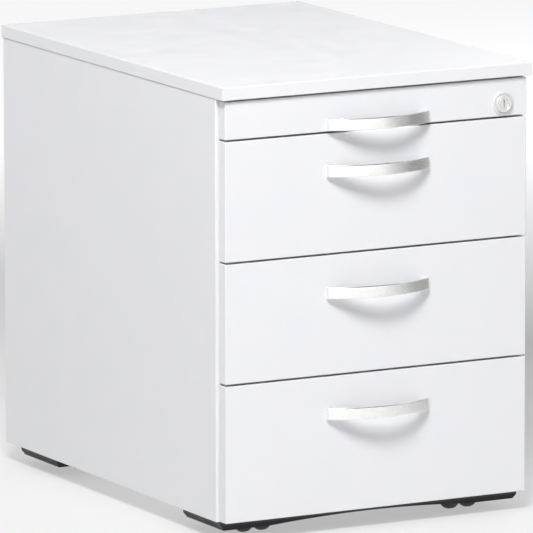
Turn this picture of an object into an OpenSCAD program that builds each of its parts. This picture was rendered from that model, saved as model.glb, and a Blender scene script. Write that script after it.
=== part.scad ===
// Rolling pedestal cabinet: a pencil drawer above three drawers on telescopic slides, a central lock,
// and two moulded base bars that hide four twin-wheel casters.
// Millimetres, +Z up. The origin is on the floor, at the centre of the footprint with its handles.
// The fronts face -Y. Left and right are as seen by a person standing in front.

/* [Carcass] */
// Width of the top panel
top_w = 430; // [420:1:450]
// Depth of the top panel
top_d = 594; // [590:1:620]
// Thickness of the carcass boards
board_t = 16; // [15:0.5:16]
// Depth of the side panels
side_d = 570; // [566:1:572]
// Height of the carcass's lower edge above the floor
carcass_z = 24; // [23:0.5:26]
// How far the top panel stands out in front of the drawer fronts
top_over = 4; // [2:0.5:6]

/* [Drawers] */
// Height unit of the drawer grid
unit_h = 50; // [50:0.5:52]
// Gap between neighbouring fronts
front_gap = 2.5; // [2:0.25:4]
// Thickness of the drawer fronts
front_t = 16; // [16:0.5:18]
// How far the fronts stop short of the top panel's sides
front_inset = 5.3; // [4:0.1:8]
// Travel of the three large drawers
drawer_travel = 440; // [300:10:440]
// Travel of the pencil drawer
pencil_travel = 300; // [200:10:300]

/* [Handles] */
// Length of a bow handle
handle_len = 142; // [138:1:150]
// How far the bow stands out from the front
handle_out = 23; // [18:0.5:28]
// Height of the handle's band
handle_h = 15; // [13:0.5:17]
// Spacing of the two handle screws
handle_pitch = 128; // [126:1:129]

/* [Lock] */
// Diameter of the rosette
rosette_d = 28.5; // [26:0.5:29]
// How far the bar lifts when the lock turns a quarter turn
bar_lift = 8; // [8:0.1:8.2]

/* [Casters] */
// Wheel diameter
wheel_d = 36; // [35:0.5:36]
// Width of one wheel
wheel_w = 19; // [18:0.5:19]
// Trail from the swivel axis back to the axle
trail = 12; // [10:0.5:13]

/* [Hidden] */
$fn = 64;
eps = 0.01;
white = [0.95, 0.95, 0.96];
silver = [0.75, 0.75, 0.76];
black = [0.12, 0.12, 0.13];
grey = [0.62, 0.63, 0.65];
zinc = [0.70, 0.72, 0.74];

// Drawer grid: units from top to bottom; the lowest front also covers the bottom panel's edge
units = [1, 3, 3, 3];
skirt_h = 21;
side_h = 10 * unit_h + skirt_h;
carcass_top_z = carcass_z + side_h;
function units_above(i) = i == 0 ? 0 : units[i - 1] + units_above(i - 1);
function grid_z(i) = carcass_top_z - unit_h * units_above(i);
function front_top(i) = i == 0 ? carcass_top_z - front_gap : grid_z(i) - front_gap / 2;
function front_bottom(i) = i == 3 ? carcass_z + 0.5 : grid_z(i + 1) + front_gap / 2;

// Depth stations, front to back
face_y = handle_out - (top_d - top_over + handle_out) / 2;
front_back_y = face_y + front_t;
side_y0 = front_back_y + 1;
side_y1 = side_y0 + side_d;
top_y0 = face_y - top_over;
back_t = 8;
back_y1 = side_y1 - 1;
back_y0 = back_y1 - back_t;

// Width stations, measured from the centre plane
side_x1 = top_w / 2 - 1;
side_x0 = side_x1 - board_t;
front_x = top_w / 2 - front_inset;
slide_room = 12.7;
box_x = side_x0 - slide_room;

// Base bars
bar_drop = 12;
bar_d = 106;
bar_x = top_w / 2 - 6.7;
bar_band = 3.2;
bar_bevel = 5.3;
bar_wall = 3.5;
bar_top_z = carcass_z + 22;
bar_body_d = bar_d - 10;
arch_half = 140;
arch_rise = 6.5;
arch_r = (pow(arch_half, 2) + pow(arch_rise, 2)) / (2 * arch_rise);
front_bar_y = side_y0 + bar_d / 2 - 3.6;
rear_bar_y = side_y1 - 80;
bar_screw_x = [40, 178];
bar_screw_y = 36;

// Bottom panel lies on the base bars
bottom_z = bar_top_z;
bottom_top_z = bottom_z + board_t;

// Casters
wheel_r = wheel_d / 2;
caster_x = 145;
web_t = 5.4;
wheel_gap = 0.4;
wheel_x0 = web_t / 2 + wheel_gap;
tread_r = 8;
axle_r = 2.5;
run_clear = 0.06;
disc_z = wheel_d + 2.3;
disc_t = 2.6;
disc_r = 31;
stem_r = 4;
stem_top_z = bottom_z + 10;

// Large drawer boxes
box_h = 112;
box_len = 500;
sheet_t = 1.5;
flange_w = 15;
bead_r = 2.5;
function box_top(i) = front_top(i) - 13.75;
function box_z(i) = box_top(i) - box_h;

// Pencil tray
tray_z = front_bottom(0) + 3.75;
tray_h = 41;
tray_len = 400;
tray_wall = 2.5;
notch_x = box_x - 27;
notch_y = front_back_y + 30;
trough_y = front_back_y + 112;

// Slides: heights, lengths and sheet thickness of the small and the large pattern
function slide_h(i) = i == 0 ? 17 : 45;
function slide_t(i) = i == 0 ? 1 : 1.2;
function slide_len(i) = i == 0 ? 350 : 500;
function slide_z(i) = i == 0 ? tray_z + tray_h - 8.5 : box_z(i) + 40;
function slide_y(i) = i == 0 ? notch_y + 4 : front_back_y + 3;
function ball_gap(i) = i == 0 ? 1.1 : 1.9;
function middle_h(i) = slide_h(i) - 2 * (slide_t(i) + ball_gap(i));
function inner_h(i) = middle_h(i) - 2 * (slide_t(i) + ball_gap(i));
slide_lip = 8;

// Handles
handle_end = 4;
handle_t = 2.6;
handle_sag = handle_out - handle_end;
handle_r = (pow(handle_len / 2, 2) + pow(handle_sag, 2)) / (2 * handle_sag);
function handle_z(i) = i == 0 ? grid_z(1) + 10 : grid_z(i) - 47;

// Screws
screw_r = 2;
screw_head_r = 4;
screw_head_h = 2.4;
flange_screw_z = [30, 90];
tray_screw_x = 140;

// Dowels
dowel_r = 4;
dowel_len = 30;
dowel_seat = 10;
dowel_y = [60, 285, 510];

// Lock, on the pencil drawer's front at the right
lock_x = front_x - 33.7;
lock_z = front_top(0) - 30.3;
barrel_r = 9;
rotor_r = 6;
tail_r = 4;
collar_d = 22.5;
rosette_t = 2;
collar_out = 4.5;
slot_w = 1.8;
slot_h = 8.6;
cam_y = front_back_y + 24;
cam_t = 3;
cam_arm = 12;
cam_tip_r = 4;
cam_hub_r = 6.5;

// Locking bar, in a groove of the right side panel
groove_y = side_y0 + 19;
groove_w = 16;
groove_d = 8;
bar_clear = 1.3;
bar_face_x = side_x0 + bar_clear;
lock_bar_t = 5.4;
lock_bar_w = groove_w - 3;
lock_bar_y = groove_y + 1.5;
lock_bar_z0 = bottom_top_z + 1;
foot_z = lock_z + cam_tip_r + 0.4 - bar_lift;
foot_t = 3;
foot_x = lock_x + 10.5;
seat_gap = 0.02;
lock_bar_z1 = foot_z + foot_t + 4;
stud_r = 2.5;
stud_x = box_x + 2.7;
stud_y = lock_bar_y + 9.5;
lug_h = 7;
lug_y = stud_y + stud_r + 3;
lug_d = 7.5;
lug_w = 6.7;
function lug_z(i) = i == 0 ? tray_z + 0.5 : slide_z(i) - slide_h(i) / 2 - 14;
guide_t = 2;

// Rectangle with rounded corners, centred
module rounded_rect(w, d, r) {
    square([w - 2 * r, d], center = true);
    square([w, d - 2 * r], center = true);
    for (x = [-1, 1], y = [-1, 1])
        translate([x * (w / 2 - r), y * (d / 2 - r)]) circle(r);
}

// Box from its two corners
module box(low, high) {
    translate(low) cube(high - low);
}

// Cylinder along Y, from y0 to y1
module rod_y(x, z, y0, y1, r) {
    translate([x, y0, z]) rotate([-90, 0, 0]) cylinder(r = r, h = y1 - y0);
}

// Cylinder along X, from x0 to x1
module rod_x(y, z, x0, x1, r) {
    translate([x0, y, z]) rotate([0, 90, 0]) cylinder(r = r, h = x1 - x0);
}

// Places its children on the right, and their mirror image on the left
module both_sides() {
    for (side = [0, 1])
        mirror([side, 0, 0]) children();
}

// Screw along Y with its head towards +Y; seat_y is the plane under the head
module screw_y(x, z, seat_y, length) {
    rod_y(x, z, seat_y - length, seat_y, screw_r);
    rod_y(x, z, seat_y, seat_y + screw_head_h, screw_head_r);
}

// U channel along Y, web at x = 0, lips towards +X, centred on z = 0
module channel(length, height, lip, t) {
    difference() {
        translate([0, 0, -height / 2]) cube([lip, length, height]);
        translate([t, -eps, t - height / 2]) cube([lip, length + 2 * eps, height - 2 * t]);
    }
}

// ---- Carcass ----

module top_dowel_holes() {
    for (x = [-1, 1], y = dowel_y)
        translate([x * (side_x0 + board_t / 2), side_y0 + y, carcass_top_z - dowel_len + dowel_seat])
            cylinder(r = dowel_r, h = dowel_len);
}

module bottom_dowel_holes() {
    for (y = dowel_y)
        both_sides()
            rod_x(side_y0 + y, bottom_z + board_t / 2, side_x0 + dowel_seat - dowel_len,
                  side_x0 + dowel_seat, dowel_r);
}

module top_panel() {
    color(white)
        difference() {
            box([-top_w / 2, top_y0, carcass_top_z], [top_w / 2, top_y0 + top_d, carcass_top_z + board_t]);
            top_dowel_holes();
        }
}

module side_panel() {
    box([side_x0, side_y0, carcass_z], [side_x1, side_y1, carcass_top_z]);
}

module left_side_panel() {
    color(white)
        difference() {
            mirror([1, 0, 0]) side_panel();
            top_dowel_holes();
            bottom_dowel_holes();
        }
}

module right_side_panel() {
    color(white)
        difference() {
            side_panel();
            top_dowel_holes();
            bottom_dowel_holes();
            box([side_x0 - eps, groove_y, bottom_top_z],
                [side_x0 + groove_d, groove_y + groove_w, carcass_top_z + eps]);
        }
}

module back_panel() {
    color(white)
        box([-side_x0, back_y0, carcass_z], [side_x0, back_y1, carcass_top_z]);
}

module bottom_panel() {
    color(white)
        difference() {
            box([-side_x0, side_y0, bottom_z], [side_x0, back_y0, bottom_top_z]);
            bottom_dowel_holes();
            bar_screws();
            for (x = [-1, 1], y = [front_bar_y, rear_bar_y])
                translate([x * caster_x, y, bottom_z - eps])
                    cylinder(r = stem_r + run_clear, h = stem_top_z + 1 - bottom_z);
        }
}

module bar_screws() {
    seat_z = bar_top_z - 4;
    for (bar_y = [front_bar_y, rear_bar_y], x = bar_screw_x, y = [-1, 1])
        both_sides()
            translate([x, bar_y + y * bar_screw_y, 0]) {
                translate([0, 0, seat_z]) cylinder(r = screw_r, h = 14);
                translate([0, 0, seat_z - screw_head_h]) cylinder(r = screw_head_r, h = screw_head_h);
            }
}

module carcass_fasteners() {
    color(zinc) {
        top_dowel_holes();
        bottom_dowel_holes();
        bar_screws();
    }
}

// ---- Base bars, with z = 0 at the carcass's lower edge ----

// Half outline of the flange: upright band, then a bevel that runs in to the underside
function flange_outline(half) = [
    [-half, 0], [-half, -bar_band], [bar_bevel - half, -bar_drop],
    [half - bar_bevel, -bar_drop], [half, -bar_band], [half, 0]
];

module bar_flange() {
    intersection() {
        rotate([90, 0, 0]) linear_extrude(bar_d, center = true) polygon(flange_outline(bar_x));
        rotate([90, 0, 90]) linear_extrude(2 * bar_x, center = true) polygon(flange_outline(bar_d / 2));
        translate([0, 0, -bar_drop]) linear_extrude(bar_drop) rounded_rect(2 * bar_x, bar_d, 7);
    }
}

module bar_ribs() {
    rib_z1 = bar_top_z - carcass_z - 4;
    for (x = [-1, 1])
        translate([x * 100 - 1.5, -bar_body_d / 2 + 1, -bar_drop])
            cube([3, bar_body_d - 2, rib_z1 + bar_drop]);
    translate([-100, -1.5, -bar_drop]) cube([200, 3, rib_z1 + bar_drop]);
}

module base_bar(bar_y) {
    body_h = bar_top_z - carcass_z;
    cavity_x = side_x0 - 4;
    cavity_y = bar_body_d / 2 - bar_wall;
    color(black)
        difference() {
            translate([0, bar_y, carcass_z])
                difference() {
                    union() {
                        difference() {
                            union() {
                                bar_flange();
                                box([-side_x0, -bar_body_d / 2, -eps], [side_x0, bar_body_d / 2, body_h]);
                            }
                            box([-cavity_x, -cavity_y, -bar_drop - 1], [cavity_x, cavity_y, body_h - 4]);
                        }
                        bar_ribs();
                    }
                    translate([0, bar_d / 2 + 1, arch_rise - bar_drop - arch_r])
                        rotate([90, 0, 0]) cylinder(r = arch_r, h = bar_d + 2, $fn = 720);
                    for (x = [-1, 1])
                        translate([x * caster_x, 0, 0]) cylinder(r = stem_r + 0.5, h = body_h + 1);
                }
            bar_screws();
        }
}

// ---- Slides: cabinet member, middle member and drawer member nest in one another ----

module cabinet_slide_members() {
    color(zinc)
        for (i = [0:3])
            both_sides()
                translate([side_x0, slide_y(i), slide_z(i)])
                    mirror([1, 0, 0]) channel(slide_len(i), slide_h(i), slide_lip, slide_t(i));
}

module middle_slides(i) {
    color(zinc)
        both_sides()
            translate([side_x0 - slide_t(i) - 0.8, slide_y(i), slide_z(i)])
                mirror([1, 0, 0]) channel(slide_len(i), middle_h(i), slide_lip, slide_t(i));
}

module drawer_slide_members(i) {
    color(zinc) {
        both_sides()
            translate([box_x, slide_y(i), slide_z(i)])
                channel(slide_len(i), inner_h(i), slide_lip, slide_t(i));
        box([box_x, lug_y, lug_z(i)], [box_x + lug_w, lug_y + lug_d, lug_z(i) + lug_h]);
    }
}

// ---- Drawers ----

module handle_screws(i, seat_y) {
    for (x = [-1, 1])
        screw_y(x * handle_pitch / 2, handle_z(i), seat_y, seat_y - face_y + 3);
}

module flange_screws(i) {
    for (x = [-1, 1], z = flange_screw_z)
        screw_y(x * (box_x - sheet_t - flange_w / 2), box_z(i) + z, front_back_y + sheet_t, 12);
}

module tray_screws() {
    for (x = [-1, 1])
        screw_y(x * tray_screw_x, tray_z + tray_h / 2, front_back_y + tray_wall, 12);
}

module drawer_screws(i) {
    color(zinc)
        if (i == 0) {
            handle_screws(i, front_back_y + tray_wall);
            tray_screws();
        } else {
            handle_screws(i, front_back_y);
            flange_screws(i);
        }
}

module drawer_front(i) {
    color(white)
        difference() {
            box([-front_x, face_y, front_bottom(i)], [front_x, front_back_y, front_top(i)]);
            if (i == 0) {
                handle_screws(i, front_back_y + tray_wall);
                tray_screws();
                rod_y(lock_x, lock_z, face_y - 1, front_back_y + 1, barrel_r);
            } else {
                handle_screws(i, front_back_y + eps);
                flange_screws(i);
            }
        }
}

// Plan of the bow: a circular band whose two ends are filled out to the front as feet
module handle_plan() {
    half = handle_len / 2;
    foot = half - 14;
    arc_y = handle_r - handle_out;
    intersection() {
        translate([0, arc_y]) circle(handle_r, $fn = 360);
        translate([-half, -handle_out - 1]) square([2 * half, handle_out + 1]);
        difference() {
            translate([-half - 1, -handle_out - 1]) square([2 * half + 2, handle_out + 1]);
            intersection() {
                translate([0, arc_y]) circle(handle_r - handle_t, $fn = 360);
                square([2 * foot, 2 * handle_out + 2], center = true);
            }
        }
    }
}

module drawer_handle(i) {
    color(silver)
        difference() {
            translate([0, face_y, handle_z(i) - handle_h / 2]) linear_extrude(handle_h) handle_plan();
            handle_screws(i, front_back_y);
        }
}

// Folded sheet side with a rolled upper edge and a flange that is screwed to the front
module drawer_sides(i) {
    y0 = front_back_y;
    color(grey)
        difference() {
            both_sides() {
                box([box_x - sheet_t, y0, box_z(i)], [box_x, y0 + box_len, box_top(i)]);
                rod_y(box_x - sheet_t / 2, box_top(i), y0, y0 + box_len, bead_r);
                box([box_x - sheet_t - flange_w, y0, box_z(i)], [box_x, y0 + sheet_t, box_top(i)]);
            }
            flange_screws(i);
        }
}

module drawer_bottom(i) {
    floor_x = box_x - sheet_t;
    floor_z = box_z(i) + 8;
    color(grey)
        box([-floor_x, front_back_y + sheet_t, floor_z],
            [floor_x, front_back_y + box_len - sheet_t, floor_z + 3]);
}

module drawer_back(i) {
    back_x = box_x - sheet_t;
    color(grey)
        box([-back_x, front_back_y + box_len - sheet_t, box_z(i) + 8],
            [back_x, front_back_y + box_len, box_top(i) - 4]);
}

// Plan of the tray: a rectangle with a notch at the front right that leaves room for the lock
function tray_outline(wall) = [
    [wall - box_x, front_back_y + wall],
    [notch_x - wall, front_back_y + wall],
    [notch_x - wall, notch_y + wall],
    [box_x - wall, notch_y + wall],
    [box_x - wall, front_back_y + tray_len - wall],
    [wall - box_x, front_back_y + tray_len - wall]
];

module pencil_tray() {
    wall_top = tray_z + tray_h;
    color(black)
        difference() {
            union() {
                difference() {
                    translate([0, 0, tray_z]) linear_extrude(tray_h) polygon(tray_outline(0));
                    translate([0, 0, tray_z + tray_wall])
                        linear_extrude(tray_h) polygon(tray_outline(tray_wall));
                }
                box([-box_x + eps, trough_y, tray_z], [box_x - eps, trough_y + tray_wall, wall_top - 8]);
                for (x = [-1, 1])
                    translate([x * box_x / 3 - tray_wall / 2, trough_y, tray_z])
                        cube([tray_wall, front_back_y + tray_len - trough_y - eps, tray_h - 8]);
            }
            handle_screws(0, front_back_y + tray_wall);
            tray_screws();
        }
}

// ---- Lock ----

module lock_housing() {
    color(silver)
        difference() {
            union() {
                rod_y(lock_x, lock_z, face_y - rosette_t, face_y, rosette_d / 2);
                rod_y(lock_x, lock_z, face_y - collar_out, face_y, collar_d / 2);
                rod_y(lock_x, lock_z, face_y - eps, cam_y - 0.5, barrel_r);
            }
            rod_y(lock_x, lock_z, face_y - collar_out - 1, cam_y + 1, rotor_r + run_clear);
        }
}

module lock_cylinder() {
    color(silver)
        difference() {
            union() {
                rod_y(lock_x, lock_z, face_y - collar_out + 0.5, cam_y, rotor_r);
                rod_y(lock_x, lock_z, cam_y - eps, cam_y + cam_t, tail_r);
            }
            box([lock_x - slot_w / 2, face_y - collar_out - 1, lock_z - slot_h / 2],
                [lock_x + slot_w / 2, face_y + 4, lock_z + slot_h / 2]);
        }
}

module lock_cam() {
    color(zinc)
        translate([lock_x, 0, lock_z])
            difference() {
                union() {
                    rod_y(0, 0, cam_y, cam_y + cam_t, cam_hub_r);
                    rod_y(0, -cam_arm, cam_y, cam_y + cam_t, cam_tip_r);
                    box([-cam_tip_r, cam_y, -cam_arm], [cam_tip_r, cam_y + cam_t, 0]);
                }
                rod_y(0, 0, cam_y - 1, cam_y + cam_t + 1, tail_r);
            }
}

// One stud for each drawer, riveted into the bar; seat is the clearance around it
module lock_studs(seat) {
    for (i = [0:3])
        rod_x(stud_y, lug_z(i) - stud_r - 2.5, stud_x, bar_face_x + lock_bar_t - 1 + seat, stud_r + seat);
}

module locking_bar() {
    color(zinc) {
        difference() {
            box([bar_face_x, lock_bar_y, lock_bar_z0],
                [bar_face_x + lock_bar_t, lock_bar_y + lock_bar_w, lock_bar_z1]);
            lock_studs(seat_gap);
        }
        box([foot_x, cam_y - 1, foot_z], [bar_face_x - seat_gap, cam_y + cam_t + 1, foot_z + foot_t]);
        lock_studs(0);
    }
}

module lock_bar_guides() {
    color(black)
        for (i = [1:3])
            box([side_x0 - guide_t, groove_y - 4, slide_z(i) + 41],
                [side_x0, groove_y + groove_w + 4, slide_z(i) + 53]);
}

// ---- Casters: the swivel axis is the local Z axis, the wheels trail towards -Y ----

module at_caster(side, bar_y) {
    translate([side * caster_x, bar_y, 0]) children();
}

module caster(side, bar_y) {
    color(black)
        at_caster(side, bar_y)
            difference() {
                union() {
                    translate([0, 0, disc_z]) cylinder(r = disc_r, h = disc_t);
                    translate([0, 0, disc_z]) cylinder(r = stem_r, h = stem_top_z - disc_z);
                    rod_x(-trail, wheel_r, -web_t / 2, web_t / 2, 7);
                    rotate([90, 0, 90])
                        linear_extrude(web_t, center = true)
                            polygon([
                                [-trail - 16, disc_z + eps], [-trail - 7, wheel_r],
                                [-trail + 7, wheel_r], [18, disc_z + eps]
                            ]);
                }
                rod_x(-trail, wheel_r, -web_t, web_t, axle_r);
            }
}

module axle(side, bar_y) {
    axle_half = wheel_x0 + wheel_w - 2;
    color(zinc)
        at_caster(side, bar_y) rod_x(-trail, wheel_r, -axle_half, axle_half, axle_r);
}

// Section of a wheel, radius along x, rounded tread, blind bore open to the web
module wheel_section() {
    difference() {
        intersection() {
            translate([0, wheel_w / 2]) rounded_rect(wheel_d, wheel_w, tread_r);
            square([wheel_d, wheel_w + 1]);
        }
        square([axle_r + run_clear, wheel_w - 1.6]);
        translate([9, wheel_w - 1]) square([1.6, 2]);
    }
}

// side is the caster's side of the cabinet; out is 1 for the outer wheel and -1 for the inner one
module wheel(side, bar_y, out) {
    color(black)
        at_caster(side, bar_y)
            translate([side * out * wheel_x0, -trail, wheel_r])
                rotate([0, side * out * 90, 0]) rotate_extrude($fn = 96) wheel_section();
}

top_panel();
left_side_panel();
right_side_panel();
back_panel();
bottom_panel();
base_bar(front_bar_y);  // front_base_bar
base_bar(rear_bar_y);  // rear_base_bar
carcass_fasteners();
cabinet_slide_members();
lock_bar_guides();
locking_bar();
lock_cylinder();
lock_cam();
lock_housing();
drawer_front(0);  // drawer_1_front
drawer_handle(0);  // drawer_1_handle
drawer_screws(0);  // drawer_1_screws
pencil_tray();
drawer_slide_members(0);  // drawer_1_slide_members
drawer_front(1);  // drawer_2_front
drawer_handle(1);  // drawer_2_handle
drawer_screws(1);  // drawer_2_screws
drawer_sides(1);  // drawer_2_sides
drawer_bottom(1);  // drawer_2_bottom
drawer_back(1);  // drawer_2_back
drawer_slide_members(1);  // drawer_2_slide_members
drawer_front(2);  // drawer_3_front
drawer_handle(2);  // drawer_3_handle
drawer_screws(2);  // drawer_3_screws
drawer_sides(2);  // drawer_3_sides
drawer_bottom(2);  // drawer_3_bottom
drawer_back(2);  // drawer_3_back
drawer_slide_members(2);  // drawer_3_slide_members
drawer_front(3);  // drawer_4_front
drawer_handle(3);  // drawer_4_handle
drawer_screws(3);  // drawer_4_screws
drawer_sides(3);  // drawer_4_sides
drawer_bottom(3);  // drawer_4_bottom
drawer_back(3);  // drawer_4_back
drawer_slide_members(3);  // drawer_4_slide_members
middle_slides(0);  // middle_slides_1
middle_slides(1);  // middle_slides_2
middle_slides(2);  // middle_slides_3
middle_slides(3);  // middle_slides_4
caster(-1, front_bar_y);  // front_left_caster
axle(-1, front_bar_y);  // front_left_axle
wheel(-1, front_bar_y, 1);  // front_left_outer_wheel
wheel(-1, front_bar_y, -1);  // front_left_inner_wheel
caster(1, front_bar_y);  // front_right_caster
axle(1, front_bar_y);  // front_right_axle
wheel(1, front_bar_y, 1);  // front_right_outer_wheel
wheel(1, front_bar_y, -1);  // front_right_inner_wheel
caster(-1, rear_bar_y);  // rear_left_caster
axle(-1, rear_bar_y);  // rear_left_axle
wheel(-1, rear_bar_y, 1);  // rear_left_outer_wheel
wheel(-1, rear_bar_y, -1);  // rear_left_inner_wheel
caster(1, rear_bar_y);  // rear_right_caster
axle(1, rear_bar_y);  // rear_right_axle
wheel(1, rear_bar_y, 1);  // rear_right_outer_wheel
wheel(1, rear_bar_y, -1);  // rear_right_inner_wheel
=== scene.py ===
"""Rolling pedestal cabinet: the looks of its boards, handles, lock, drawers, slides and casters."""
import math

import bmesh
import bpy
from mathutils import Matrix, Vector


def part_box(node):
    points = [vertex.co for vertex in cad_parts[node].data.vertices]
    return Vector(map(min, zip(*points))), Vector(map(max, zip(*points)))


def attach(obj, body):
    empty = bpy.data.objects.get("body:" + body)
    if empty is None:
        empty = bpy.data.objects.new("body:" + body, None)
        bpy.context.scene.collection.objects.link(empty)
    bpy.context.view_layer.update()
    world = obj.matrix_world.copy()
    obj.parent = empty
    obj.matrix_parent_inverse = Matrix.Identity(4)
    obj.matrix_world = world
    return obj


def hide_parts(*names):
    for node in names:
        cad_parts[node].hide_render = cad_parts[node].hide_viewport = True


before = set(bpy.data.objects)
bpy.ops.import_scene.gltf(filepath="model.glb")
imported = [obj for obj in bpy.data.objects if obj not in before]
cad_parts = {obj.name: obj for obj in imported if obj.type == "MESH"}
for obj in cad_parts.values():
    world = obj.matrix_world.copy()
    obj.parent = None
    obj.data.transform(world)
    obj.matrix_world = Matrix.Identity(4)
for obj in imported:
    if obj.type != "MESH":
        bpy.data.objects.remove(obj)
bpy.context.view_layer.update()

MM = 0.001

# Points closer than this are one point: in profiles and CAD meshes, and in a kept CAD node once
# its edges are rounded
WELD = 0.002 * MM
SLIVER = 0.005 * MM

# How far a cutting tool reaches past the surface that it cuts
PAST = 1.0 * MM

# Camera: the direction it stands in, seen from the cabinet, and its lens
CAMERA_AZIMUTH = -28.394
CAMERA_ELEVATION = 10.144
CAMERA_ROLL = -0.079
CAMERA_DISTANCE = 10.308
CAMERA_HEIGHT_AIMED_AT = 0.27987
CAMERA_LENS = 556.95
CAMERA_SENSOR = 36.0
CAMERA_REACH = 200.0

# Boards: radius of the edges, thickness of the edge band, and depth of the seam beside it
EDGE_R = 0.9 * MM
BAND = 2.0 * MM
SEAM = 0.07 * MM

# Boards that are let in between others: the same radius and thickness
INNER_EDGE_R = 0.3 * MM
INNER_BAND = 0.8 * MM

# Bow handles: depth of the bow at its ends, thickness of the band and of its end walls
HANDLE_END = 4.0 * MM
HANDLE_BAND = 2.8 * MM
HANDLE_WALL = 2.4 * MM

# Rounding of a handle's upright corners and of its upper and lower rims
HANDLE_CORNER_R = 1.2 * MM
HANDLE_UPPER_R = 1.5 * MM
HANDLE_LOWER_R = 1.1 * MM

# What counts as the outer rim of a handle: this close to the bow's outer radius or to an end
NEAR_BOW = 0.5 * MM
NEAR_END = 1.4 * MM

# Faces that look down more than this get the darker copy of the silver: painted shade on the
# handle's underside
UNDERSIDE_NORMAL = -0.3

# Bosses for a handle's screws: from the handle's end to their inner and outer sides, the slant of
# the inner side, how far they stay behind the rims, and the radius of their corners
BOSS_INNER = 14.0 * MM
BOSS_OUTER = 2.0 * MM
BOSS_SLANT = 0.8 * MM
BOSS_RECESS = 2.2 * MM
BOSS_CORNER_R = 1.5 * MM

# Screws: radii of shank and tip, height of head and of its dome, and the cross recess as
# (width, length) and depth
SCREW_R = 2.0 * MM
SCREW_TIP_R = SCREW_R * 0.6
SCREW_HEAD = 2.4 * MM
SCREW_DOME = SCREW_HEAD * 0.6
CROSS = (0.9 * MM, 4.4 * MM)
CROSS_DEPTH = 1.5 * MM

# Lock housing: the rosette, then the groove round the collar as its width at the floor and at the
# rosette's face, the collar with the radii of the ring turned into it, and the barrel
ROSETTE_T = 2.0 * MM
ROSETTE_STRAIGHT = ROSETTE_T * 0.55
ROSETTE_RIM_R = 0.9 * MM
COLLAR_R = 10.8 * MM
COLLAR_RIM_R = 0.8 * MM
COLLAR_GROOVE = (0.6 * MM, 1.1 * MM)
COLLAR_GROOVE_DEPTH = 0.8 * MM
COLLAR_RING = (8.6 * MM, 8.3 * MM, 7.9 * MM, 7.6 * MM)
COLLAR_RING_DEPTH = 0.3 * MM
BORE_CHAMFER = 0.25 * MM
BARREL_R = 9.0 * MM

# Lock cylinder: its radii, the ring turned into its face, and the key slot as (width, height)
ROTOR_R = 6.0 * MM
ROTOR_CLEAR = 0.06 * MM
ROTOR_RIM_R = 0.3 * MM
ROTOR_RING = (4.9 * MM, 5.1 * MM, 5.3 * MM)
ROTOR_RING_DEPTH = 0.15 * MM
TAIL_R = 4.0 * MM
KEY_SLOT = (1.8 * MM, 8.6 * MM)
KEY_DEPTH = 8.0 * MM

# Wheels: radius of the rounded shoulders, where the outer one ends (degrees from the tread), the
# bore and the skin in front of it, and the hub's face as (radius, depth) in mm
SHOULDER_R = 8.0 * MM
SHOULDER_END = 62
WHEEL_BORE_R = 2.56 * MM
WHEEL_SKIN = 1.6 * MM
HUB_FACE = ((10.9, 0.9), (10.6, 0.5), (10.6, 1.6), (9.0, 1.6), (9.0, 0.2), (8.7, 0.0), (6.0, 0.0),
            (5.2, 0.7), (0.0, 0.7))
TREAD_FROM = 11.2 * MM

# Side panel's groove for the locking bar
BAR_GROOVE_DEPTH = 8.0 * MM
GUIDE_OVERLAP = 4.0 * MM

# CAD nodes that stay: radii of their edges, the angle up to which faces are one flat face, and the
# angle from which an edge is rounded
STRIP_R = 0.25 * MM
SHEET_R = 0.3 * MM
CAST_R = 0.4 * MM
MOULDING_R = 0.5 * MM
TRAY_R = 0.7 * MM
FLAT_ANGLE = math.radians(0.4)
ROUNDED_ANGLE = math.radians(35)

# Most of a noise pattern's values lie between these two
NOISE_RANGE = (0.3, 0.7)

# Heights between which painted light turns the base bars' black plastic grey
BAR_PAINTED_LIGHT_HEIGHTS = (18 * MM, 23 * MM)

# Soft boxes as (name, place, aim, size, power)
SOFTBOXES = (
    ("key", (-1.58, -2.22, 3.60), (0.0, 0.0, 0.3), (1.05, 1.05), 183.0),
    ("front", (-0.50, -4.2, 0.46), (0.0, -0.3, 0.35), (5.8, 0.7), 19.0),
    ("front_right", (2.70, -3.2, 0.46), (0.0, -0.3, 0.35), (1.9, 0.7), 1.9),
    ("rim", (3.0, -1.4, 2.6), (0.0, 0.0, 0.3), (1.8, 1.8), 9.0),
    ("overhead", (-0.3, 0.7, 2.6), (-0.1, 0.3, 0.5), (2.6, 2.6), 20.0),
    ("right", (2.8, 2.4, 1.4), (0.0, 0.2, 0.3), (1.8, 1.8), 26.0),
    ("back_left", (-1.6, 3.4, 1.6), (0.0, 0.3, 0.3), (1.8, 1.8), 10.0),
)

# Sky: its dimmest and brightest, the direction of the brightest and the cosines from it between
# which the sky brightens, and the pale band at the horizon with the heights where it fades
SKY = (0.13, 0.15)
SKY_BRIGHTEST = (0.10, -0.50, 0.86)
SKY_COSINES = (-0.3, 1.0)
HORIZON = 0.60
HORIZON_BAND = (0.03, 0.09)

# Floor: its greys, where painted shade dims it (direction and distances), and its glow where it is
# pale and where it is dim; then the direction and distances over which it passes into the backdrop
FLOOR_HALF = 60.0
FLOOR_T = 0.02
FLOOR_PALE = 0.34
FLOOR_DIM = 0.18
FLOOR_DIMS_TOWARDS = (0.90, 0.43, 0.0)
FLOOR_DIM_RANGE = (0.22, 1.0)
FLOOR_GLOW = (0.46, 0.09)
BACKDROP_TOWARDS = (0.47, 0.88, 0.0)
BACKDROP_RANGE = (0.6, 2.6)
BACKDROP_GLOW = 0.85


# ---- Mesh work ----

def block(low, high):
    """A box between two corners, as a new bmesh."""
    bm = bmesh.new()
    bmesh.ops.create_cube(bm, size=1.0)
    low, high = Vector(low), Vector(high)
    size = high - low
    middle = (low + high) / 2
    scale = Matrix.Diagonal((*size, 1.0))
    bmesh.ops.transform(bm, verts=bm.verts, matrix=Matrix.Translation(middle) @ scale)
    return bm


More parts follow.
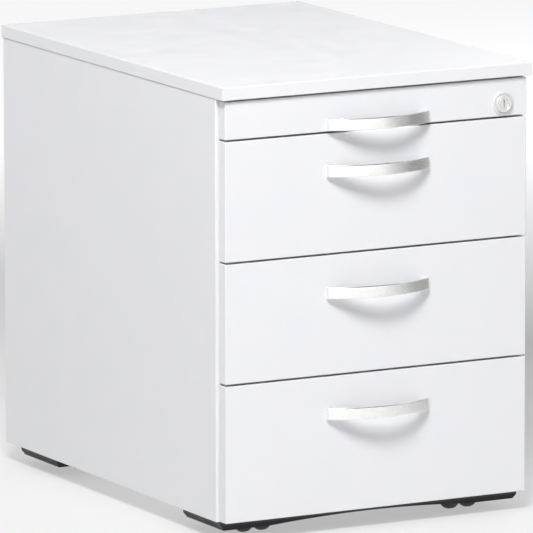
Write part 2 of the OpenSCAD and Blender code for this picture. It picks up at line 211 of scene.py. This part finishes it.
def along(axis, origin):
    """Matrix that puts a local frame at origin, with its local Z along +x, -x, +y or -y."""
    turn = {
        "+x": Matrix(((0, 0, 1), (1, 0, 0), (0, 1, 0))),
        "-x": Matrix(((0, 0, -1), (-1, 0, 0), (0, 1, 0))),
        "+y": Matrix(((-1, 0, 0), (0, 0, 1), (0, 1, 0))),
        "-y": Matrix(((1, 0, 0), (0, 0, -1), (0, 1, 0))),
    }[axis]
    return Matrix.Translation(origin) @ turn.to_4x4()


def arc(centre, radius, start, end, steps):
    """Points (radius, height) on a circular arc, angles in degrees."""
    angles = [math.radians(start + (end - start) * i / steps) for i in range(steps + 1)]
    return [(centre[0] + radius * math.cos(a), centre[1] + radius * math.sin(a)) for a in angles]


def revolve(bm, profile, place, segments=72, closed=False):
    """Turns a profile of (radius, height) points about the local Z axis of place."""
    rings = []
    for radius, height in profile:
        count = segments if radius > WELD else 1
        angles = [2 * math.pi * i / count for i in range(count)]
        points = [Vector((radius * math.cos(a), radius * math.sin(a), height)) for a in angles]
        rings.append([bm.verts.new(place @ point) for point in points])
    following = rings[1:] + rings[:1] if closed else rings[1:]
    faces = []
    for ring, other in zip(rings, following):
        for i in range(segments):
            j = (i + 1) % segments
            corners = [ring[i % len(ring)], ring[j % len(ring)],
                       other[j % len(other)], other[i % len(other)]]
            distinct = list(dict.fromkeys(corners))
            if len(distinct) > 2:
                faces.append(bm.faces.new(distinct))
    bmesh.ops.recalc_face_normals(bm, faces=bm.faces)
    return faces


def extrude_outline(bm, points, place, height):
    """Raises a closed outline of (x, y) points by height along the local Z axis of place."""
    lower = [bm.verts.new(place @ Vector((x, y, 0.0))) for x, y in points]
    upper = [bm.verts.new(place @ Vector((x, y, height))) for x, y in points]
    bm.faces.new(lower)
    bm.faces.new(upper)
    for i in range(len(points)):
        j = (i + 1) % len(points)
        bm.faces.new((lower[i], lower[j], upper[j], upper[i]))
    bmesh.ops.recalc_face_normals(bm, faces=bm.faces)


def bevel(bm, edges, radius, segments=3):
    """Rounds some edges of a bmesh."""
    bmesh.ops.bevel(bm, geom=list(edges), offset=radius, segments=segments, profile=0.5,
                    affect="EDGES", clamp_overlap=True)


def rod(bm, axis, origin, radius, length, segments):
    """A capped cylinder that starts at origin and runs along axis."""
    profile = [(0.0, 0.0), (radius, 0.0), (radius, length), (0.0, length)]
    revolve(bm, profile, along(axis, origin), segments)


def solids(node):
    """The boxes of the separate solids in one CAD node, each as (lowest corner, highest corner)."""
    bm = bmesh.new()
    bm.from_mesh(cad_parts[node].data)
    bmesh.ops.remove_doubles(bm, verts=bm.verts, dist=WELD)
    found = []
    left = set(bm.verts)
    while left:
        edge_of_search = [left.pop()]
        points = []
        while edge_of_search:
            vert = edge_of_search.pop()
            points.append(vert.co.copy())
            for edge in vert.link_edges:
                other = edge.other_vert(vert)
                if other in left:
                    left.remove(other)
                    edge_of_search.append(other)
        found.append((Vector([min(p[i] for p in points) for i in range(3)]),
                      Vector([max(p[i] for p in points) for i in range(3)])))
    bm.free()
    return sorted(found, key=lambda b: [round(c, 5) for c in (*b[0], *b[1])])


def new_object(name, bm):
    """An object in the scene with the bmesh as its mesh; the bmesh is used up."""
    obj = bpy.data.objects.new(name, bpy.data.meshes.new(name))
    bm.normal_update()
    bm.to_mesh(obj.data)
    bm.free()
    bpy.context.scene.collection.objects.link(obj)
    return obj


def combine(obj, tool_bm, operation):
    """Cuts the tool out of the object's mesh, or joins it on."""
    cutter = new_object("tool", tool_bm)
    cut = obj.modifiers.new("combine", "BOOLEAN")
    cut.object = cutter
    cut.operation = operation
    cut.solver = "EXACT"
    bpy.context.view_layer.update()
    evaluated = obj.evaluated_get(bpy.context.evaluated_depsgraph_get())
    carved = bpy.data.meshes.new_from_object(evaluated)
    obj.modifiers.remove(cut)
    uncut = obj.data
    obj.data = carved
    bpy.data.meshes.remove(uncut)
    bpy.data.objects.remove(cutter)


def shade(obj, sharp_angle=38):
    """Smooth shading that keeps the large faces flat and the sharp edges sharp."""
    obj.data.shade_smooth()
    obj.data.set_sharp_from_angle(angle=math.radians(sharp_angle))
    weighted = obj.modifiers.new("weighted normals", "WEIGHTED_NORMAL")
    weighted.keep_sharp = True


def piece(name, bm, body, materials, replaced, cutter=None, addition=None):
    """A finished piece of the cabinet that moves with a body and stands for some CAD nodes."""
    obj = new_object(name, bm)
    if addition is not None:
        combine(obj, addition, "UNION")
    if cutter is not None:
        combine(obj, cutter, "DIFFERENCE")
    obj.data.materials.clear()
    for material in materials:
        obj.data.materials.append(material)
    shade(obj)
    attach(obj, body)
    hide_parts(*replaced)


def refine(node, material, radius, segments=2):
    """A CAD node that stays: a better material, clean faces and rounded edges."""
    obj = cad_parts[node]
    for slot in obj.material_slots:
        slot.link = "OBJECT"
        slot.material = material
    weld = obj.modifiers.new("weld", "WELD")
    weld.merge_threshold = WELD
    planes = obj.modifiers.new("planes", "DECIMATE")
    planes.decimate_type = "DISSOLVE"
    planes.angle_limit = FLAT_ANGLE
    rounding = obj.modifiers.new("rounding", "BEVEL")
    rounding.width = radius
    rounding.segments = segments
    rounding.limit_method = "ANGLE"
    rounding.angle_limit = ROUNDED_ANGLE
    rounding.use_clamp_overlap = False
    rounding.miter_outer = "MITER_ARC"
    slivers = obj.modifiers.new("slivers", "WELD")
    slivers.merge_threshold = SLIVER
    obj.modifiers.new("weighted normals", "WEIGHTED_NORMAL")


# ---- Materials ----

def vector_math(tree, operation, source, operand=None):
    """A vector math node that is fed by source and, if given, by a constant vector."""
    node = tree.nodes.new("ShaderNodeVectorMath")
    node.operation = operation
    tree.links.new(source, node.inputs[0])
    if operand is not None:
        node.inputs[1].default_value = operand
    return node


class Finish:
    """A node material around one Principled shader, with patterns in the object's own metres."""

    def __init__(self, name, colour, roughness, metallic=0.0, specular=0.5, anisotropic=0.0):
        self.material = bpy.data.materials.new(name)
        self.material.use_nodes = True
        self.tree = self.material.node_tree
        self.shader = self.tree.nodes["Principled BSDF"]
        self.shader.inputs["Base Color"].default_value = (*colour, 1.0)
        self.shader.inputs["Roughness"].default_value = roughness
        self.shader.inputs["Metallic"].default_value = metallic
        self.shader.inputs["Specular IOR Level"].default_value = specular
        self.shader.inputs["Anisotropic"].default_value = anisotropic
        self.metres = self.tree.nodes.new("ShaderNodeTexCoord").outputs["Object"]

    def join(self, source, target):
        """Links the output of one node to the input of another."""
        self.tree.links.new(source, target)

    def noise(self, size, stretch=(1.0, 1.0, 1.0), detail=2.0, shift=0.0, coords=None):
        """Noise with spots of about this size in metres, longer by stretch along each axis."""
        place = self.tree.nodes.new("ShaderNodeMapping")
        place.inputs["Location"].default_value = (shift, shift * 0.7, shift * 1.3)
        place.inputs["Scale"].default_value = [1.0 / (size * s) for s in stretch]
        pattern = self.tree.nodes.new("ShaderNodeTexNoise")
        pattern.inputs["Scale"].default_value = 1.0
        pattern.inputs["Detail"].default_value = detail
        self.join(coords or self.metres, place.inputs["Vector"])
        self.join(place.outputs["Vector"], pattern.inputs["Vector"])
        return pattern.outputs["Fac"]

    def cells(self, size):
        """Rounded cells of about this size, for grained plastic and paint."""
        pattern = self.tree.nodes.new("ShaderNodeTexVoronoi")
        pattern.feature = "SMOOTH_F1"
        pattern.inputs["Scale"].default_value = 1.0 / size
        self.join(self.metres, pattern.inputs["Vector"])
        return pattern.outputs["Distance"]

    def span(self, pattern, low, high, source=NOISE_RANGE):
        """Brings a pattern from its own range into the one between low and high."""
        ranged = self.tree.nodes.new("ShaderNodeMapRange")
        ends = zip(("From Min", "From Max", "To Min", "To Max"), (*source, low, high))
        for socket, end in ends:
            ranged.inputs[socket].default_value = end
        self.join(pattern, ranged.inputs["Value"])
        return ranged.outputs["Result"]

    def roughness(self, pattern, low, high):
        """Lets the pattern vary the roughness between two values."""
        self.join(self.span(pattern, low, high), self.shader.inputs["Roughness"])

    def tint(self, pattern, colour, share=1.0):
        """Mixes another colour into the base colour where the pattern is high."""
        mix = self.tree.nodes.new("ShaderNodeMix")
        mix.data_type = "RGBA"
        base = self.shader.inputs["Base Color"]
        first, second = mix.inputs[6], mix.inputs[7]
        if base.is_linked:
            self.join(base.links[0].from_socket, first)
        else:
            first.default_value = base.default_value
        second.default_value = (*colour, 1.0)
        self.join(self.span(pattern, 0.0, share), mix.inputs[0])
        self.join(mix.outputs[2], base)

    def bump(self, pattern, distance):
        """Adds relief of this depth in metres."""
        relief = self.tree.nodes.new("ShaderNodeBump")
        relief.inputs["Distance"].default_value = distance
        relief.inputs["Strength"].default_value = 1.0
        normal = self.shader.inputs["Normal"]
        if normal.is_linked:
            self.join(normal.links[0].from_socket, relief.inputs["Normal"])
        self.join(pattern, relief.inputs["Height"])
        self.join(relief.outputs["Normal"], normal)


def melamine():
    """White pearl melamine: nearly even, with a fine pearl relief and faint handling marks."""
    f = Finish("white_melamine", (0.790, 0.793, 0.808), roughness=0.42)
    f.tint(f.noise(0.055, detail=3), (0.765, 0.775, 0.800))
    f.tint(f.noise(0.030, detail=2, shift=4.1), (0.795, 0.785, 0.792), share=0.6)
    f.tint(f.noise(0.0007, detail=1, shift=1.7), (0.76, 0.765, 0.78), share=0.5)
    f.roughness(f.noise(0.035, detail=3, shift=2.3), low=0.36, high=0.47)
    f.bump(f.noise(0.0009, detail=2), distance=0.012 * MM)
    f.bump(f.noise(0.012, detail=1, shift=7.0), distance=0.02 * MM)
    return f.material


def edge_band():
    """ABS band on the boards' edges, a little smoother than the melamine beside it."""
    f = Finish("white_edge_band", (0.795, 0.797, 0.808), roughness=0.34)
    f.tint(f.noise(0.03, detail=2), (0.775, 0.782, 0.80))
    f.roughness(f.noise(0.012, detail=3), low=0.28, high=0.40)
    f.bump(f.noise(0.0012, detail=2), distance=0.006 * MM)
    return f.material


def satin_silver(name, colour, streak):
    """Brushed satin silver: fine streaks along the bow."""
    f = Finish(name, colour, roughness=0.25, metallic=0.92, anisotropic=0.6)
    f.shader.inputs["Anisotropic Rotation"].default_value = 0.25
    f.tint(f.noise(0.0011, stretch=(60.0, 1.0, 1.0), detail=4), streak, share=0.8)
    f.tint(f.noise(0.02, stretch=(2.0, 1.0, 1.0), detail=2, shift=3.0), streak, share=0.4)
    f.roughness(f.noise(0.0006, stretch=(80.0, 1.0, 1.0), detail=3, shift=1.0), low=0.21, high=0.29)
    f.bump(f.noise(0.0005, stretch=(90.0, 1.0, 1.0), detail=3, shift=2.0), distance=0.006 * MM)
    return f.material


def satin_nickel(centre):
    """Turned satin nickel: fine rings about the lock's axis."""
    f = Finish("satin_nickel", (0.80, 0.80, 0.795), roughness=0.42, metallic=0.35)
    offset = vector_math(f.tree, "SUBTRACT", f.metres, centre)
    across = vector_math(f.tree, "MULTIPLY", offset.outputs["Vector"], (1.0, 0.0, 1.0))
    radius = vector_math(f.tree, "LENGTH", across.outputs["Vector"])
    rings = f.noise(0.0004, detail=3, coords=radius.outputs["Value"])
    f.tint(rings, (0.73, 0.73, 0.725), share=0.8)
    f.roughness(rings, low=0.36, high=0.48)
    f.bump(rings, distance=0.002 * MM)
    f.tint(f.noise(0.004, detail=3, shift=5.0), (0.77, 0.765, 0.76), share=0.4)
    return f.material


def grained_plastic(name, colour, worn, grain, roughness, relief):
    """Moulded plastic with a spark-eroded grain and slightly polished high spots."""
    f = Finish(name, colour, roughness)
    f.tint(f.noise(0.03, detail=3), worn, share=0.5)
    f.tint(f.noise(0.0015, detail=2, shift=3.0), worn, share=0.35)
    f.roughness(f.noise(0.015, detail=4, shift=1.0), low=roughness - 0.07, high=roughness + 0.07)
    f.bump(f.cells(grain), distance=relief)
    f.bump(f.noise(grain * 0.6, detail=2), distance=relief * 0.6)
    return f.material


def base_bar_plastic():
    """Black moulding: painted light makes its upper band grey, and the bevel below it stays deep
    black.
    """
    f = Finish("base_bar_moulding", (0.007, 0.007, 0.008), roughness=0.50, specular=0.25)
    height = f.tree.nodes.new("ShaderNodeSeparateXYZ")
    f.join(f.metres, height.inputs[0])
    # Painted light: above these heights the black is tinted grey, where the upright band catches
    # the light
    upper = f.span(height.outputs["Z"], *NOISE_RANGE, source=BAR_PAINTED_LIGHT_HEIGHTS)
    f.tint(upper, (0.080, 0.080, 0.083))
    f.tint(f.noise(0.02, detail=3), (0.030, 0.030, 0.032), share=0.3)
    f.roughness(f.noise(0.015, detail=4, shift=1.0), low=0.42, high=0.58)
    f.bump(f.cells(0.0009), distance=0.03 * MM)
    f.bump(f.noise(0.0005, detail=2), distance=0.02 * MM)
    return f.material


def zinc_steel():
    """Bright zinc-plated strip: rolling streaks along Y, and a faint blue and straw passivation."""
    f = Finish("zinc_steel", (0.70, 0.715, 0.735), roughness=0.32, metallic=1.0)
    f.tint(f.noise(0.018, detail=3), (0.63, 0.66, 0.71), share=0.8)
    f.tint(f.noise(0.025, detail=2, shift=6.0), (0.72, 0.70, 0.64), share=0.5)
    f.tint(f.noise(0.0006, stretch=(1.0, 60.0, 1.0), detail=3), (0.56, 0.57, 0.59), share=0.5)
    f.roughness(f.noise(0.008, stretch=(1.0, 4.0, 1.0), detail=4, shift=2.0), low=0.24, high=0.42)
    f.bump(f.noise(0.0004, stretch=(1.0, 80.0, 1.0), detail=2), distance=0.004 * MM)
    return f.material


def powder_coat():
    """Silver-grey powder coat with a fine orange peel."""
    f = Finish("drawer_powder_coat", (0.46, 0.47, 0.485), roughness=0.46)
    f.tint(f.noise(0.05, detail=3), (0.43, 0.44, 0.46), share=0.8)
    f.tint(f.noise(0.0004, detail=1), (0.56, 0.57, 0.585), share=0.6)
    f.roughness(f.noise(0.02, detail=4), low=0.38, high=0.54)
    f.bump(f.cells(0.0014), distance=0.02 * MM)
    return f.material


def matt_floor():
    """Pale floor: painted shade dims it towards the right; it glows, most towards the back."""
    f = Finish("studio_floor", (FLOOR_PALE,) * 3, roughness=0.7, specular=0.2)

    def reach(direction, distances):
        away = vector_math(f.tree, "DOT_PRODUCT", f.metres, direction)
        return f.span(away.outputs["Value"], *NOISE_RANGE, source=distances)

    f.tint(f.noise(0.8, detail=3), (FLOOR_PALE * 0.98,) * 3, share=0.6)
    # Painted shade: the floor's grey darkens towards the right
    dim = reach(FLOOR_DIMS_TOWARDS, FLOOR_DIM_RANGE)
    f.tint(dim, (FLOOR_DIM,) * 3)
    glow = f.tree.nodes.new("ShaderNodeMix")
    share, near, far = glow.inputs[0], glow.inputs[2], glow.inputs[3]
    f.join(f.span(reach(BACKDROP_TOWARDS, BACKDROP_RANGE), 0.0, 1.0), share)
    f.join(f.span(dim, *FLOOR_GLOW), near)
    far.default_value = BACKDROP_GLOW
    f.shader.inputs["Emission Color"].default_value = (1.0, 1.0, 1.0, 1.0)
    f.join(glow.outputs[0], f.shader.inputs["Emission Strength"])
    f.roughness(f.noise(0.4, detail=3), low=0.62, high=0.78)
    return f.material


# ---- Pieces ----

def board(node, body, skins, band=BAND, edge_r=EDGE_R, cutter=None):
    """A melamine board: rounded ABS bands all round, a fine seam beside them, and the two faces."""
    bm = block(*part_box(node))
    bevel(bm, bm.edges, edge_r)
    for face in bm.faces:
        face.material_index = 1
    for face in sorted(bm.faces, key=lambda f: f.calc_area())[-2:]:
        for step, depth in ((band - edge_r, 0.0), (SEAM, -SEAM), (SEAM, SEAM)):
            bmesh.ops.inset_region(bm, faces=[face], thickness=step, depth=depth,
                                   use_even_offset=True)
        face.material_index = 0
    piece(node + "_board", bm, body, skins, [node], cutter)


def handle(node, body, materials):
    """A bow handle: a curved band with soft rims, a wall at each end, and two screw bosses."""
    low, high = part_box(node)
    half, out = (high.x - low.x) / 2, high.y - low.y
    sag = out - HANDLE_END
    radius = (half ** 2 + sag ** 2) / (2 * sag)
    arc_centre = radius - out
    wall = half - HANDLE_WALL
    middle = (low.z + high.z) / 2

    def bow(r, x_from, x_to, steps):
        start, end = (math.degrees(math.asin(x / r)) for x in (x_from, x_to))
        return arc((0.0, arc_centre), r, -90 + start, -90 + end, steps)

    def upright(edge):
        return abs(edge.verts[0].co.z - edge.verts[1].co.z) > MM

    def at_corner(edge):
        point = edge.verts[0].co
        return abs(abs(point.x) - half) < 0.01 * MM and point.y < high.y - MM

    def on_rim(edge):
        """Between a flat upper or lower face and a wall, and not where the handle is fixed."""
        slopes = [abs(face.normal.z) for face in edge.link_faces]
        foremost = min(vert.co.y for vert in edge.verts)
        return max(slopes) > 0.9 and min(slopes) < 0.1 and foremost < high.y - 0.1 * MM

    def outer(edge):
        point = (edge.verts[0].co + edge.verts[1].co) / 2
        from_centre = math.hypot(point.x, point.y - high.y - arc_centre)
        return from_centre > radius - NEAR_BOW or abs(point.x) > half - NEAR_END

    outline = [(-half, 0.0)] + bow(radius, -half, half, 72) + [(half, 0.0), (wall, 0.0)]
    outline += bow(radius - HANDLE_BAND, wall, -wall, 60) + [(-wall, 0.0)]
    bm = bmesh.new()
    extrude_outline(bm, outline, Matrix.Translation((0.0, high.y, low.z)), high.z - low.z)
    bevel(bm, [e for e in bm.edges if upright(e) and at_corner(e)], HANDLE_CORNER_R, segments=4)
    bm.normal_update()
    rims = [e for e in bm.edges if not upright(e) and on_rim(e) and outer(e)]
    upper = [e for e in rims if e.verts[0].co.z > middle]
    lower = [e for e in rims if e.verts[0].co.z < middle]
    bevel(bm, upper, HANDLE_UPPER_R, segments=5)
    bevel(bm, lower, HANDLE_LOWER_R, segments=4)
    bm.normal_update()
    # Painted shade: faces that look down take the much darker copy of the silver
    for face in bm.faces:
        if face.normal.z < UNDERSIDE_NORMAL:
            face.material_index = 1

    inner_side, outer_side = half - BOSS_INNER, half - BOSS_OUTER
    shape = bow(radius - HANDLE_BAND / 2, inner_side, outer_side, 8)
    shape += [(outer_side, 0.0), (inner_side + BOSS_SLANT, 0.0)]
    bosses = bmesh.new()
    for side in (-1, 1):
        extrude_outline(bosses, [(side * x, y) for x, y in shape],
                        Matrix.Translation((0.0, high.y, low.z + BOSS_RECESS)),
                        high.z - low.z - 2 * BOSS_RECESS)
    inner_corners = [e for e in bosses.edges
                     if upright(e) and abs(e.verts[0].co.x) < inner_side + MM]
    bevel(bosses, inner_corners, BOSS_CORNER_R, segments=4)
    piece(node + "_bow", bm, body, materials, [node], addition=bosses)


def screws(node, body, material):
    """Pan-head screws with a cross recess, where the CAD has plain ones."""
    arm, half = CROSS[0] / 2, CROSS[1] / 2
    cross = [(-half, -arm), (-arm, -arm), (-arm, -half), (arm, -half), (arm, -arm), (half, -arm),
             (half, arm), (arm, arm), (arm, half), (-arm, half), (-arm, arm), (-half, arm)]
    bm, recesses = bmesh.new(), bmesh.new()
    for low, high in solids(node):
        x, z = (low.x + high.x) / 2, (low.z + high.z) / 2
        length, head_r = high.y - low.y, (high.x - low.x) / 2
        seat = length - SCREW_HEAD
        dome_r = (head_r ** 2 + SCREW_DOME ** 2) / (2 * SCREW_DOME)
        rim = math.degrees(math.asin(head_r / dome_r))
        profile = [(0.0, 0.0), (SCREW_TIP_R, 0.0), (SCREW_R, MM), (SCREW_R, seat), (head_r, seat)]
        profile += arc((0.0, length - dome_r), dome_r, 90 - rim, 90, 8)[:-1] + [(0.0, length)]
        revolve(bm, profile, along("+y", (x, low.y, z)), segments=28)
        extrude_outline(recesses, cross, along("+y", (x, high.y - CROSS_DEPTH, z)),
                        CROSS_DEPTH + PAST)
    piece(node + "_turned", bm, body, [material], [node], recesses)


def lock_housing(nickel, x, z, face):
    """Rosette, collar with a shadow groove round it, and barrel, in one turned piece."""
    low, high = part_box("lock_housing")
    rosette_r = (high.x - low.x) / 2
    out = face - low.y
    back = face - high.y
    bore = ROTOR_R + ROTOR_CLEAR
    groove_floor = ROSETTE_T - COLLAR_GROOVE_DEPTH
    profile = [(rosette_r, 0.0), (rosette_r, ROSETTE_STRAIGHT)]
    profile += arc((rosette_r - ROSETTE_RIM_R, ROSETTE_T - ROSETTE_RIM_R), ROSETTE_RIM_R, 10, 90, 5)
    profile += [(COLLAR_R + COLLAR_GROOVE[1], ROSETTE_T),
                (COLLAR_R + COLLAR_GROOVE[0], groove_floor), (COLLAR_R, groove_floor)]
    profile += arc((COLLAR_R - COLLAR_RIM_R, out - COLLAR_RIM_R), COLLAR_RIM_R, 0, 90, 5)
    ring_heights = (out, out - COLLAR_RING_DEPTH, out - COLLAR_RING_DEPTH, out)
    profile += list(zip(COLLAR_RING, ring_heights))
    profile += [(bore + BORE_CHAMFER, out), (bore, out - BORE_CHAMFER), (bore, back),
                (BARREL_R, back), (BARREL_R, 0.0)]
    bm = bmesh.new()
    revolve(bm, profile, along("-y", (x, face, z)), segments=96, closed=True)
    piece("lock_housing_turned", bm, "drawer_1", [nickel], ["lock_housing"])


def lock_cylinder(nickel, x, z, face):
    """Cylinder with a ring in its face, an upright key slot, and a thinner tail behind the cam."""
    low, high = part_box("lock_cylinder")
    out = face - low.y
    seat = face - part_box("lock_cam")[0].y
    back = face - high.y
    profile = [(0.0, out)] + list(zip(ROTOR_RING, (out, out - ROTOR_RING_DEPTH, out)))
    profile += arc((ROTOR_R - ROTOR_RIM_R, out - ROTOR_RIM_R), ROTOR_RIM_R, 90, 0, 3)
    profile += [(ROTOR_R, seat), (TAIL_R, seat), (TAIL_R, back), (0.0, back)]
    bm = bmesh.new()
    revolve(bm, profile, along("-y", (x, face, z)), segments=72)
    slot = block((x - KEY_SLOT[0] / 2, low.y - PAST, z - KEY_SLOT[1] / 2),
                 (x + KEY_SLOT[0] / 2, low.y + KEY_DEPTH, z + KEY_SLOT[1] / 2))
    piece("lock_cylinder_turned", bm, "lock", [nickel], ["lock_cylinder"], slot)


def wheel(caster, place, tread, hub):
    """A caster wheel: crowned tread, stepped hub face with a centre boss, and bore for its axle."""
    node = f"{caster}_{place}_wheel"
    low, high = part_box(node)
    web_low, web_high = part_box(caster + "_caster")
    outward = "+x" if low.x + high.x > web_low.x + web_high.x else "-x"
    width, r = high.x - low.x, (high.z - low.z) / 2
    start = low.x if outward == "+x" else high.x
    centre = Vector((start, (low.y + high.y) / 2, (low.z + high.z) / 2))
    bore_end = width - WHEEL_SKIN
    inside = [(0.0, bore_end), (WHEEL_BORE_R, bore_end), (WHEEL_BORE_R, 0.0)]
    shell = arc((r - SHOULDER_R, SHOULDER_R), SHOULDER_R, -90, 0, 8)
    shell += arc((r - SHOULDER_R, width - SHOULDER_R), SHOULDER_R, 0, SHOULDER_END, 7)
    outside = [(radius * MM, width - depth * MM) for radius, depth in HUB_FACE]
    bm = bmesh.new()
    for face in revolve(bm, inside + shell + outside, along(outward, centre), segments=72):
        distance = (face.calc_center_median() - centre).yz.length
        face.material_index = 0 if distance > TREAD_FROM else 1
    piece(node + "_turned", bm, node, [tread, hub], [node])


# ---- Studio ----

def make_camera():
    """Camera of the photograph, on a sphere round a point at the cabinet's mid-height."""
    azimuth, elevation, roll = (math.radians(angle) for angle in
                                (CAMERA_AZIMUTH, CAMERA_ELEVATION, CAMERA_ROLL))
    back = Vector((math.sin(azimuth) * math.cos(elevation),
                   -math.cos(azimuth) * math.cos(elevation), math.sin(elevation)))
    level_right = (-back).cross(Vector((0.0, 0.0, 1.0))).normalized()
    level_up = level_right.cross(-back)
    right = math.cos(roll) * level_right + math.sin(roll) * level_up
    up = math.cos(roll) * level_up - math.sin(roll) * level_right
    data = bpy.data.cameras.new("camera")
    data.lens = CAMERA_LENS
    data.sensor_width = CAMERA_SENSOR
    data.clip_end = CAMERA_REACH
    camera = bpy.data.objects.new("camera", data)
    place = Vector((0.0, 0.0, CAMERA_HEIGHT_AIMED_AT)) + back * CAMERA_DISTANCE
    turn = Matrix((right, up, back)).transposed().to_4x4()
    camera.matrix_world = Matrix.Translation(place) @ turn
    bpy.context.scene.collection.objects.link(camera)
    bpy.context.scene.camera = camera


def softbox(name, place, aim, size, power):
    """A rectangular area light that points at aim."""
    data = bpy.data.lights.new(name, "AREA")
    data.shape = "RECTANGLE"
    data.size, data.size_y = size
    data.energy = power
    light = bpy.data.objects.new(name, data)
    light.location = place
    light.rotation_euler = (Vector(aim) - Vector(place)).to_track_quat("-Z", "Y").to_euler()
    bpy.context.scene.collection.objects.link(light)


def eased(tree, value, source, target):
    """Maps value smoothly from one range to another; an end of target may be a node's output."""
    ranged = tree.nodes.new("ShaderNodeMapRange")
    ranged.interpolation_type = "SMOOTHSTEP"
    tree.links.new(value, ranged.inputs["Value"])
    for socket, end in zip(("From Min", "From Max", "To Min", "To Max"), (*source, *target)):
        if isinstance(end, float):
            ranged.inputs[socket].default_value = end
        else:
            tree.links.new(end, ranged.inputs[socket])
    return ranged.outputs["Result"]


def make_sky():
    """A dim sky that is a little brighter on one side and has a pale band at the horizon."""
    world = bpy.data.worlds.new("studio")
    bpy.context.scene.world = world
    world.use_nodes = True
    tree = world.node_tree
    direction = tree.nodes.new("ShaderNodeTexCoord").outputs["Generated"]
    towards = vector_math(tree, "DOT_PRODUCT", direction, SKY_BRIGHTEST)
    dome = eased(tree, towards.outputs["Value"], SKY_COSINES, SKY)
    height = tree.nodes.new("ShaderNodeSeparateXYZ")
    tree.links.new(direction, height.inputs[0])
    sky = eased(tree, height.outputs["Z"], HORIZON_BAND, (HORIZON, dome))
    tree.links.new(sky, tree.nodes["Background"].inputs["Color"])


def make_studio(floor_material):
    """Sky, floor and soft boxes."""
    make_sky()
    floor = new_object("floor", block((-FLOOR_HALF, -FLOOR_HALF, -FLOOR_T),
                                      (FLOOR_HALF, FLOOR_HALF, 0.0)))
    floor.data.materials.append(floor_material)
    for name, place, aim, size, power in SOFTBOXES:
        softbox(name, place, aim, size, power)
    bpy.context.scene.view_settings.view_transform = "Standard"


# ---- Assembly ----

make_camera()

LOCK_LOW, LOCK_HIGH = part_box("lock_housing")
LOCK_X, LOCK_Z = (LOCK_LOW.x + LOCK_HIGH.x) / 2, (LOCK_LOW.z + LOCK_HIGH.z) / 2

WHITE = [melamine(), edge_band()]
# The second silver is a much darker copy of the first: painted shade for the handles' undersides
SILVER = [satin_silver("satin_silver", (0.99, 0.99, 0.985), streak=(0.94, 0.94, 0.935)),
          satin_silver("satin_silver_painted_shade", (0.36, 0.36, 0.36), streak=(0.28, 0.28, 0.28))]
NICKEL = satin_nickel((LOCK_LOW + LOCK_HIGH) / 2)
ZINC = zinc_steel()
STEEL = powder_coat()
BLACK = grained_plastic("black_moulding", (0.020, 0.020, 0.022), worn=(0.032, 0.032, 0.034),
                        grain=0.0009, roughness=0.48, relief=0.03 * MM)
BAR = base_bar_plastic()
TRAY = grained_plastic("tray_moulding", (0.029, 0.029, 0.031), worn=(0.035, 0.035, 0.037),
                       grain=0.0006, roughness=0.42, relief=0.02 * MM)
CASTER = grained_plastic("caster_moulding", (0.016, 0.016, 0.017), worn=(0.028, 0.028, 0.030),
                         grain=0.0007, roughness=0.40, relief=0.02 * MM)
TREAD = grained_plastic("wheel_tread", (0.030, 0.030, 0.031), worn=(0.055, 0.054, 0.052),
                        grain=0.0010, roughness=0.62, relief=0.03 * MM)

make_studio(matt_floor())

# Carcass
for node in ("top_panel", "left_side_panel"):
    board(node, "cabinet", WHITE)
side_low, side_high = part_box("right_side_panel")
guide_low, guide_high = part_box("lock_bar_guides")
bottom_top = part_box("bottom_panel")[1].z
groove = block((side_low.x - PAST, guide_low.y + GUIDE_OVERLAP, bottom_top),
               (side_low.x + BAR_GROOVE_DEPTH, guide_high.y - GUIDE_OVERLAP, side_high.z + PAST))
board("right_side_panel", "cabinet", WHITE, cutter=groove)
for node in ("back_panel", "bottom_panel"):
    board(node, "cabinet", WHITE, band=INNER_BAND, edge_r=INNER_EDGE_R)

# Drawers: the handle's screws go right through a front, the others end inside it
for number in (1, 2, 3, 4):
    drawer = f"drawer_{number}"
    front_low, front_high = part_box(drawer + "_front")
    holes = bmesh.new()
    for low, high in solids(drawer + "_screws"):
        start = Vector(((low.x + high.x) / 2, low.y, (low.z + high.z) / 2))
        if low.y < front_low.y:
            start.y = front_low.y - 2 * PAST
        rod(holes, "+y", start, SCREW_R, front_high.y + PAST - start.y, segments=24)
    if number == 1:
        rod(holes, "+y", (LOCK_X, front_low.y - PAST, LOCK_Z), BARREL_R,
            front_high.y - front_low.y + 2 * PAST, segments=64)
    board(drawer + "_front", drawer, WHITE, cutter=holes)
    handle(drawer + "_handle", drawer, SILVER)
    screws(drawer + "_screws", drawer, ZINC)
    refine(drawer + "_slide_members", ZINC, STRIP_R)
    refine(f"middle_slides_{number}", ZINC, STRIP_R)
    if number > 1:
        for part in ("sides", "bottom", "back"):
            refine(f"{drawer}_{part}", STEEL, SHEET_R)
refine("pencil_tray", TRAY, TRAY_R, segments=3)
refine("cabinet_slide_members", ZINC, STRIP_R)

# Lock and locking bar
front_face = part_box("drawer_1_front")[0].y
lock_housing(NICKEL, LOCK_X, LOCK_Z, front_face)
lock_cylinder(NICKEL, LOCK_X, LOCK_Z, front_face)
refine("lock_cam", ZINC, STRIP_R)
refine("locking_bar", ZINC, CAST_R)
refine("lock_bar_guides", BLACK, MOULDING_R)

# Base bars, fasteners and casters
for end in ("front", "rear"):
    refine(end + "_base_bar", BAR, MOULDING_R)
    for side in ("left", "right"):
        caster = f"{end}_{side}"
        refine(caster + "_caster", CASTER, CAST_R)
        refine(caster + "_axle", ZINC, SHEET_R)
        for place in ("outer", "inner"):
            wheel(caster, place, TREAD, CASTER)
refine("carcass_fasteners", ZINC, SHEET_R)
